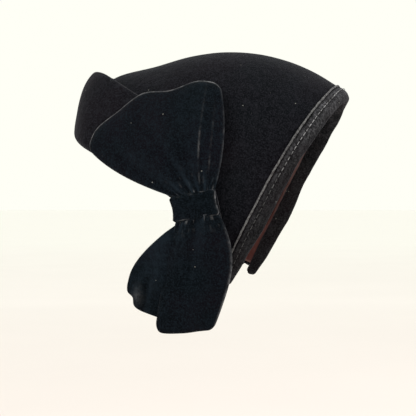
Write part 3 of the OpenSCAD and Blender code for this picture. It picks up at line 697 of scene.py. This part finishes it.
def pillow(name, outline, place, length, root, folds, full, flat, fold_r, shine, corner):
    """Folded loop: gathered root, rounded rims and end fold. place(yz, height, r) puts it in the hat, folds
    gives its height and painted highlights, and shine how light the painted sheen lines on its first rim,
    last rim and end fold are."""
    turn = np.radians(np.linspace(0, 90, 6))
    ease = fold_r * (1 - np.cos(turn))
    rs = np.concatenate([np.linspace(root, 1 - fold_r / length, 64), 1 - ease[::-1][1:] / length])
    rings, painted_sheens, painted_shade_rows = [], [], []
    for r in rs:
        ends = outline(np.array([0.0, 1.0]), np.full(2, r))
        width = np.linalg.norm(ends[1] - ends[0]) * 1.04
        a = np.concatenate([ease[:-1] / width, np.linspace(fold_r / width, 1 - fold_r / width, 101),
                            1 - ease[::-1][1:] / width])
        rim = np.minimum(a, 1 - a) * width
        tip = (1 - r) * length
        roundness = np.sqrt(1 - (1 - np.clip(rim / fold_r, 0, 1)) ** 2)
        roundness = roundness * math.sqrt(1 - (1 - min(1, max(0, tip / fold_r))) ** 2)
        thick = flat + (full - flat) * fullness(a, np.full(a.shape, max(r, 0)))
        height, painted_glints = folds(a, np.full(a.shape, r), width)
        top = flat / 2 + (thick - flat / 2 + height) * roundness
        low = flat / 2 * (1 - roundness)
        # Painted light and shade: lighter on the folds' rising slopes and crests, less so away from the knot.
        slope = np.gradient(height * roundness, a * width)
        nap_and_painted_shade = np.clip(slope * 1.3, 0, 1) * 0.8 + 0.12 * np.clip(height, 0, 2)
        nap_and_painted_shade = nap_and_painted_shade * (0.42 + 0.58 * math.exp(-max(r, 0) / 0.3))
        near = np.clip(rim / corner, 0, 1)
        cut = corner / length * (1 - np.sqrt(1 - (1 - near) ** 2)) * max(0.0, 1 - tip / (2.5 * corner))
        yz = outline(a, r - cut)
        upper, lower = place(yz, top, r), place(yz, low, r)
        rings.append(np.concatenate([upper, lower[::-1][1:-1]]))
        # Painted sheen lines along the rims and the end fold, broken up at random; the folds add painted
        # highlights and glints.
        first, last = bump(a * width - 0.1, 0.55), bump((1 - a) * width - 0.1, 0.55)
        line = np.maximum(shine[0] * first, shine[1] * last)
        line = np.maximum(line, shine[2] * bump(tip - 0.1, 0.6)) * min(1, max(0, (r - 0.04) / 0.1))
        at = spot(yz[..., 0], yz[..., 1], 0)
        line = line * np.clip(0.72 + 0.75 * soft_noise(at, 19, 35) + 0.35 * soft_noise(at, 4, 46), 0.08, 1.15)
        painted_sheens.append(np.concatenate([np.maximum(line, painted_glints * roundness), 0 * line[1:-1]]))
        painted_shade_rows.append(np.concatenate([nap_and_painted_shade * roundness, 0 * nap_and_painted_shade[1:-1]]))
    return skin(name, np.array(rings), np.array(painted_sheens), ends=(True, False), nap_and_painted_shade=np.array(painted_shade_rows))


GATHERS = np.random.default_rng(8).uniform(-1, 1, (8, 3))


def gathers(a, r, reach, height):
    """Small tucks that run out of the knot and fade"""
    total = np.zeros_like(a)
    for i, (shift, size, bend) in enumerate(GATHERS):
        at = (i + 0.5 + 0.3 * shift) / len(GATHERS)
        far = reach * (1 + 0.5 * size)
        fade = np.exp(-np.maximum(r, 0) / far)
        total += (0.75 + 0.25 * size) * bump(a - at - 0.05 * bend * r, 0.040 + 0.03 * r) * fade
    return height * (total - 0.35)


def wing_folds(a, r, width):
    """Gathers, two pleats near the rear rim, soft folds out of the knot, and painted highlights on the
    pleats' crests with painted glints by the knot
    """
    height = gathers(a, r, 0.17, 2.0)
    grow = np.clip(r / 0.15, 0, 1) * np.clip((1 - r) / 0.05, 0, 1)
    x = (a - (0.70 + 0.21 * r)) * width
    pleat = np.where(x < 0, np.exp(x / 8.0), np.exp(-x / 1.1))
    height += 1.3 * pleat * np.clip(1.1 - 0.55 * r, 0, 1) * np.clip((r + 0.05) / 0.1, 0, 1)
    x2 = (a - (0.84 + 0.13 * r)) * width
    pleat2 = np.where(x2 < 0, np.exp(x2 / 4.0), np.exp(-x2 / 1.2))
    height += 0.7 * pleat2 * np.clip(1.2 - 1.3 * r, 0, 1)
    height += 1.9 * bump(a - (0.36 - 0.10 * r), 0.09) * np.exp(-r / 0.6)
    height += 1.4 * bump(a - 0.55, 0.06) * np.exp(-r / 0.45)
    height += -1.6 * bump(a - (0.46 - 0.05 * r), 0.05) * np.exp(-r / 0.55)
    height += -1.5 * bump(a - (0.2 - 0.08 * r), 0.06) * np.exp(-r / 0.6)
    height += 0.7 * grow * soft_noise(spot(a * 60, r * 70, 0), 17, 41)
    # Painted highlights along the pleats' crests, and painted glints at the gathers by the knot.
    painted_glints = 0.44 * bump(x + 0.15, 0.45) * np.clip(1.15 - 1.3 * r, 0.10, 1) * np.clip((r - 0.05) / 0.05, 0, 1)
    painted_glints2 = 0.26 * bump(x2, 0.4) * np.clip(0.9 - r, 0, 1) * np.clip((r - 0.1) / 0.1, 0, 1)
    painted_glints = np.maximum(painted_glints, painted_glints2)
    painted_glints = painted_glints * np.clip(0.62 + 0.95 * soft_noise(spot(a * 60, r * 70, 0), 4.5, 44), 0.08, 1.2)
    glint = soft_noise(spot(a * 90, r * 60, 3), 2.2, 43)
    painted_glints = np.maximum(painted_glints, 0.5 * np.clip((glint - 0.45) / 0.3, 0, 1) * np.exp(-np.maximum(r, 0) / 0.07))
    return height, painted_glints


def wing_place(yz, height, r):
    base = 9.8 - 1.2 * (1 - r)
    p = side_dome(yz[..., 0], yz[..., 1], base + height)
    p[..., 0] += max(0.0, -r) * 30 + 1.6 * math.exp(-max(r, 0) / 0.06)
    return p


wing = pillow("bow_upper_wing", wing_yz, wing_place, length=70, root=-0.05, folds=wing_folds, full=6.0,
              flat=2.9, fold_r=1.45, shine=(0.12, 0.30, 0.86), corner=6.5)
dress(wing, bow_mat, "bow_upper_wing", ["bow_upper_loop"])


def hang_x(z):
    """How far out the lower half of the bow hangs at height z"""
    return KNOT[0] - 1 - 0.13 * (KNOT[2] - KNOT_HALF_H - z)


def loop_folds(a, r, width):
    height = gathers(a, r, 0.075, 0.7)
    height += 1.3 * bump(a - 0.30, 0.12) * np.exp(-r / 0.45) - 1.3 * bump(a - 0.50, 0.08) * np.exp(-r / 0.5)
    height += 1.4 * bump(a - 0.72, 0.10) * np.exp(-r / 0.5)
    height += 0.6 * np.clip(r / 0.2, 0, 1) * soft_noise(spot(a * 45, r * 70, 0), 19, 51)
    # Painted glints just below the knot.
    glint = soft_noise(spot(a * 70, r * 60, 7), 2.4, 53)
    return height, 0.35 * np.clip((glint - 0.45) / 0.3, 0, 1) * np.exp(-np.maximum(r, 0) / 0.05)


def loop_place(yz, height, r):
    x = hang_x(yz[..., 1]) - 4 + height + 1.2 * math.exp(-max(r, 0) / 0.08)
    return np.stack([x, yz[..., 0], yz[..., 1]], -1)


loop = pillow("bow_lower_loop_velvet", loop_yz, loop_place, length=71, root=-0.04, folds=loop_folds, full=8.0,
              flat=2.9, fold_r=1.45, shine=(0.0, 0.55, 0.03), corner=3.5)
dress(loop, bow_mat, "bow_lower_wing", ["bow_lower_loop"])


def tail_folds(a, r, width):
    """Rise to the loop's front rim, a curled corner with a painted highlight, and a dip beside it"""
    yz = tail_yz(a, r)
    y, z = yz[..., 0], yz[..., 1]
    top, foot = loop_yz(np.array(0.0), np.array(0.0)), np.array(LOOP_END[0], float)
    past = y - top[0] - (z - top[1]) * (foot[0] - top[0]) / (foot[1] - top[1])
    blend = 5.9 * np.where(past < 0.5, bump(past - 0.5, 13), bump(past - 0.5, 2.6))
    blend = blend * np.clip(r / 0.10, 0, 1) * np.clip((z + 80) / 22, 0, 1) ** 1.5
    curl = 3.4 * bump(np.hypot((y + 42.0) * 0.80, (z + 67) * 0.50), 4.2)
    dip = -2.4 * bump((y + 36.5) - 0.25 * (z + 62), 2.6) * np.clip((-52 - z) / 8, 0, 1)
    height = blend + curl + dip + 0.5 * soft_noise(spot(a * 40, r * 60, 0), 15, 61)
    # Painted highlight on the curled corner.
    painted_glints = 0.16 * bump(np.hypot((y + 42.5) * 0.9, (z + 66) * 0.55), 3.0)
    return height, painted_glints


def tail_place(yz, height, r):
    y, z = yz[..., 0], yz[..., 1]
    dent = 2.4 * bump(np.hypot(y + 49.5, z + 69), 3.4) - 0.9 * bump(np.hypot(y + 50, z + 61), 4)
    return np.stack([hang_x(z) - 7.4 + height, y + 0.88 * dent, z + 0.45 * dent], -1)


tail = pillow("bow_lower_tail_velvet", tail_yz, tail_place, length=68, root=0.0, folds=tail_folds, full=2.6,
              flat=2.2, fold_r=1.1, shine=(0.03, 0.0, 0.03), corner=2.5)
dress(tail, bow_mat, "bow_lower_wing", ["bow_lower_tail"])


def bow_knot():
    """Creased band round the bow's middle: outer face, then inner face, joined by rounded lips"""
    nk, nw = 144, 33
    w = np.linspace(-1, 1, nw)
    angle = np.linspace(0, 360, nk, endpoint=False)[:, None]
    # each crease: place, depth, width, phase
    creases = [(-6.6, 0.55, 0.5, 1.2), (-4.4, 0.35, 0.45, 0.4), (5.8, 0.45, 0.5, 3.6), (7.2, 0.35, 0.4, 5.0),
               (1.5, 0.18, 0.7, 2.4), (-1.8, 0.15, 0.8, 0.9)]
    rings, painted_sheens = [], []
    for side in (1, -1):
        ww = w[::side] * (KNOT_HALF_H - 0.3)
        half = KNOT_HALF_W - 1.6 * (1 - (ww / KNOT_HALF_H) ** 2)
        half = half - 2.6 * np.clip((np.abs(ww) - 6.0) / 2.5, 0, 1) ** 2
        lip = np.sqrt(1 - np.clip((np.abs(ww) - KNOT_HALF_H + 0.9) / 0.62, 0, 1) ** 2)
        grow = (0.6 * lip - 0.6) if side > 0 else (-0.6 * lip - 0.6)
        ww = ww[None, :]
        h = 0 * angle + 0 * ww
        painted_sheen = 0 * h
        if side > 0:
            for at, tall, wide, phase in creases:
                turn = np.radians(angle)
                shift = 0.9 * np.sin(turn + phase) + 0.5 * np.sin(turn * 3 + phase * 2)
                strength = 0.55 + 0.45 * np.sin(turn * 2 + phase)
                x = ww - at - shift
                h = h - tall * bump(x, wide) * strength + 0.5 * tall * bump(x - 1.1, 0.8) * strength
            h = h + 0.25 * soft_noise(spot(angle / 6, ww, 0), 5, 71)
            # Painted glints along the knot's top and bottom edges, stronger on some sides, and a painted
            # sheen line down one side.
            sparkle = soft_noise(spot(angle / 7, ww * 3, 0), 2.2, 73)
            painted_sheen = 0.38 * np.clip((sparkle - 0.30) / 0.4, 0, 1) * (bump(ww - 8.2, 0.8) + bump(ww + 7.6, 1.0))
            painted_sheen = painted_sheen * (0.35 + 0.9 * bump(angle - 45, 35) + 0.6 * bump(angle - 110, 20))
            painted_sheen = np.maximum(painted_sheen, 0.95 * bump(angle - 14 + 0 * h, 9) * np.clip(0.6 + 0.5 * sparkle, 0, 1))
        c, s = cosd(angle), sind(angle)
        boxy = (np.abs(c) ** 2.7 + np.abs(s) ** 2.7) ** (-1 / 2.7)
        v = (half + grow)[None, :] * boxy * c + h * c * 0.4
        x = (KNOT_HALF_D + grow)[None, :] * boxy * s * 0.97 + h * s
        rings.append(knot_point(x, v, np.broadcast_to(ww, v.shape)))
        painted_sheens.append(painted_sheen)
    rings, painted_sheens = np.concatenate(rings, 1), np.concatenate(painted_sheens, 1)
    return skin("bow_knot_velvet", rings, painted_sheens, wrap=True)


dress(bow_knot(), bow_mat, "hat", ["bow_knot"])

# ---- carried-over CAD nodes ----

CARRIED = {
    "cuff_foundation": buckram_mat, "front_edge_wire": wire_mat,
    "back_edge_wire": wire_mat, "cuff_edge_wire": wire_mat, "wire_joiners": wire_mat,
    "back_binding_padding": cotton_mat, "cuff_padding": cotton_mat, "binding_stitches": thread_mat,
    "bow_backing_patch": felt_mat, "bow_tack_stitches": dark_thread_mat, "bow_core": bow_mat,
    "bow_core_thread": dark_thread_mat, "bow_upper_net": net_mat, "bow_lower_net": net_mat,
    "comb_left": comb_mat, "comb_right": comb_mat, "comb_loops_left": dark_thread_mat,
    "comb_loops_right": dark_thread_mat,
}
for node, mat in CARRIED.items():
    paint(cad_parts[node], mat)

# ---- floor and light ----

FLOOR_Z, FLOOR_REACH, PALE_AT = -0.26, 150, 8.0
STUDIO = (1.0, 1.0, 0.92, 1)
floor = bpy.data.meshes.new("floor")
corners = ((-1, -1), (1, -1), (1, 1), (-1, 1))
floor.from_pydata([(x * FLOOR_REACH, y * FLOOR_REACH, FLOOR_Z) for x, y in corners], [], [(0, 1, 2, 3)])
floor = bpy.data.objects.new("floor", floor)
SCENE.collection.objects.link(floor)
paper = Nodes("pale_floor")
paper.put(Roughness=0.9, Specular_IOR_Level=0.1)
distance = paper.add("ShaderNodeVectorMath", operation="LENGTH")
paper.link(paper.coords, distance.inputs[0])
tone = paper.ramp(paper.noise(3), [(0.3, (0.985,)), (0.7, (1.0,))])
away = paper.ramp(paper.math("DIVIDE", distance.outputs["Value"], PALE_AT),
                  [(0.10, (0.82, 0.762, 0.742)), (0.32, (0.955, 0.915, 0.90)), (1.0, (0.99, 0.978, 0.955))])
paper.colour(paper.mix(1.0, away, tone, "MULTIPLY"))
floor.data.materials.append(paper.mat)

world = bpy.data.worlds.new("studio")
SCENE.world = world
world.use_nodes = True
sky = world.node_tree.nodes["Background"].inputs
sky["Color"].default_value, sky["Strength"].default_value = STUDIO, 1.0


def area_light(name, at, size, power, colour):
    """Round light that faces the object's middle"""
    lamp = bpy.data.lights.new(name, "AREA")
    lamp.shape = "DISK"
    lamp.size, lamp.energy, lamp.color = size, power, colour
    aimed(name, lamp, at, -Vector(at))


area_light("key_light", at=(1.3, -0.9, 1.3), size=0.9, power=14, colour=(1.0, 0.97, 0.93))
area_light("rim_light", at=(-0.3, 1.2, 1.0), size=0.8, power=8, colour=(0.93, 0.95, 1.0))
